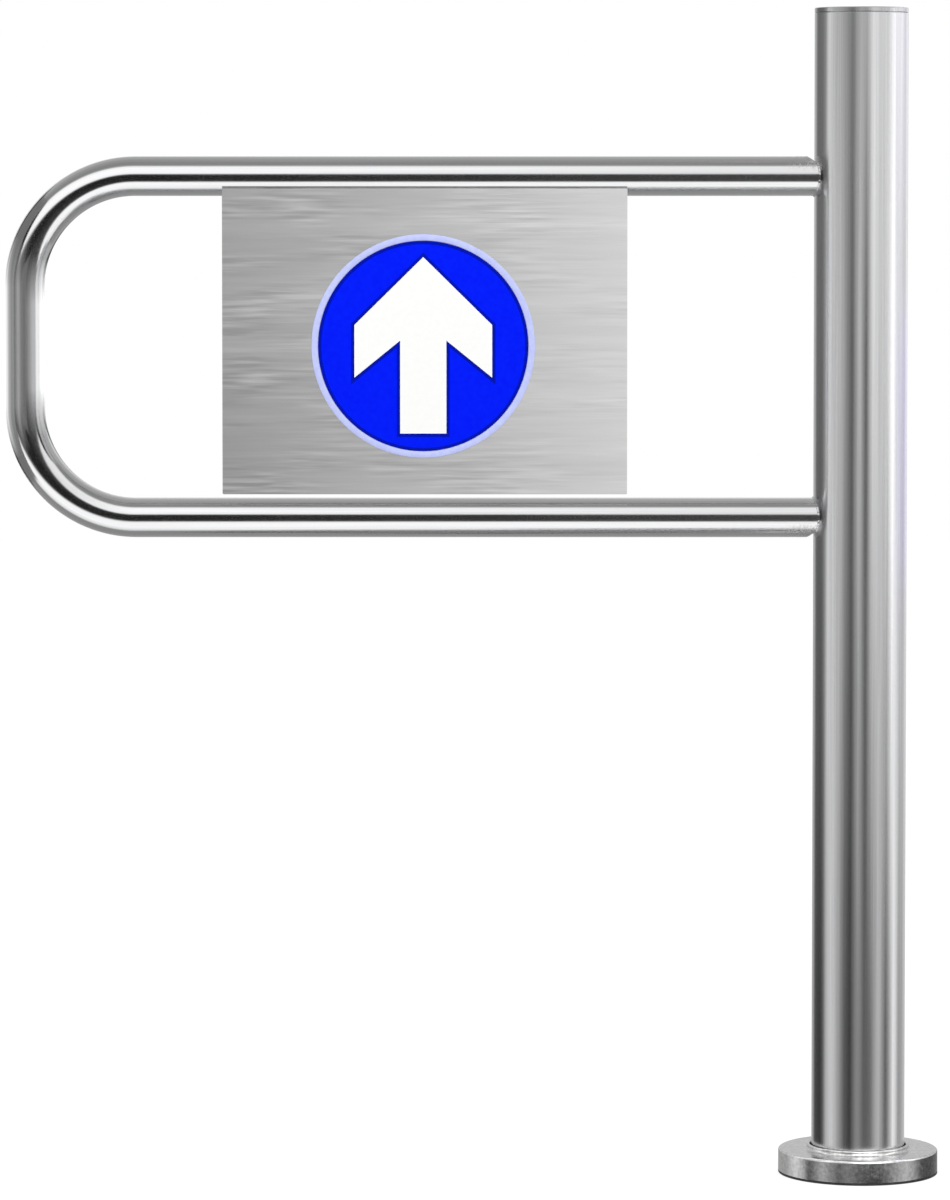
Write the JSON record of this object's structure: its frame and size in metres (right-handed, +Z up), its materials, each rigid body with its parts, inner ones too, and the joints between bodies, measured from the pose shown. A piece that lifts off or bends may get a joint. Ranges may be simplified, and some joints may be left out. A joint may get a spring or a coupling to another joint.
{
  "type": "swing barrier gate",
  "caption": "Spring-return pedestrian swing gate: a turning post on a fixed mast carries a U-shaped tube arm with a sign panel; bolted to the floor.",
  "frame": {"origin": "on the post's axis at floor level, in the middle of the base plate's underside", "axes": "+Z up along the post; the arm points along -X; the sign faces -Y, and the gate opens towards +Y"},
  "size_m": [0.76, 0.13, 0.95],
  "materials": {
    "polished_stainless": "polished stainless steel",
    "brushed_stainless": "horizontally brushed stainless steel",
    "zinc_steel": "zinc-plated steel",
    "mild_steel": "bare mild steel, lightly oiled",
    "bearing_steel": "ground and hardened steel",
    "spring_steel": "oiled spring steel",
    "acetal": "natural acetal",
    "black_rubber": "matt rubber",
    "blue_film": "satin sign film",
    "pale_film": "satin sign film",
    "white_film": "satin sign film"
  },
  "bodies": {
    "base": {"base_plate": "zinc_steel", "base_cover": "polished_stainless", "base_gasket": "black_rubber", "anchor_stud_1": "zinc_steel", "anchor_stud_2": "zinc_steel", "anchor_stud_3": "zinc_steel", "anchor_stud_4": "zinc_steel", "anchor_washer_1": "zinc_steel", "anchor_washer_2": "zinc_steel", "anchor_washer_3": "zinc_steel", "anchor_washer_4": "zinc_steel", "anchor_nut_1": "zinc_steel", "anchor_nut_2": "zinc_steel", "anchor_nut_3": "zinc_steel", "anchor_nut_4": "zinc_steel", "mast_tube": "mild_steel", "mast_collar": "mild_steel", "upper_bearing_circlip": "spring_steel", "lower_bearing_inner_ring": "bearing_steel", "upper_bearing_inner_ring": "bearing_steel", "stop_ring": "mild_steel", "stop_ring_screw": "zinc_steel", "stop_buffer_closed": "black_rubber", "stop_buffer_open": "black_rubber", "return_cam": "bearing_steel", "cam_pin": "bearing_steel"},
    "gate": {"post_tube": "polished_stainless", "top_cap": "polished_stainless", "arm_tube": "polished_stainless", "lower_bearing_housing": "mild_steel", "lower_bearing_outer_ring": "bearing_steel", "upper_bearing_housing": "mild_steel", "upper_bearing_outer_ring": "bearing_steel", "stop_lug": "mild_steel", "follower_key_1": "mild_steel", "follower_key_2": "mild_steel", "closing_spring": "spring_steel", "spring_upper_seat": "mild_steel", "preload_bridge": "mild_steel", "preload_screw": "zinc_steel", "preload_locknut": "zinc_steel", "sign_panel": "brushed_stainless", "panel_hanger_left": "brushed_stainless", "panel_hanger_right": "brushed_stainless", "panel_stud_1": "zinc_steel", "panel_stud_2": "zinc_steel", "panel_stud_3": "zinc_steel", "panel_stud_4": "zinc_steel", "panel_nut_1": "zinc_steel", "panel_nut_2": "zinc_steel", "panel_nut_3": "zinc_steel", "panel_nut_4": "zinc_steel", "sign_border": "pale_film", "sign_disc": "blue_film", "sign_arrow": "white_film"},
    "cam_slider": {"cam_follower": "acetal"},
    "lower_cage": {"lower_ball_cage": "bearing_steel"},
    "upper_cage": {"upper_ball_cage": "bearing_steel"}
  },
  "joints": [
    {"name": "gate_swing", "type": "hinge", "parent": "base", "child": "gate", "pos_m": [0, 0, 0.4], "axis": [0, 0, -1], "range_deg": [0, 90], "stiffness_Nm_per_rad": 2.2, "springref_deg": -108.86},
    {"name": "cam_lift", "type": "slide", "parent": "gate", "child": "cam_slider", "axis": [0, 0, 1], "range_m": [0, 0.012], "deforming": ["closing_spring"]},
    {"name": "lower_cage_orbit", "type": "hinge", "parent": "base", "child": "lower_cage", "pos_m": [0, 0, 0.0441], "axis": [0, 0, -1], "range_deg": [0, 52]},
    {"name": "upper_cage_orbit", "type": "hinge", "parent": "base", "child": "upper_cage", "pos_m": [0, 0, 0.72595], "axis": [0, 0, -1], "range_deg": [0, 52]}
  ],
  "couplings": [
    {"joint": "cam_lift", "follows": "gate_swing", "m_per_rad": 0.0076394},
    {"joint": "lower_cage_orbit", "follows": "gate_swing", "ratio": 0.5732},
    {"joint": "upper_cage_orbit", "follows": "gate_swing", "ratio": 0.5732}
  ]
}
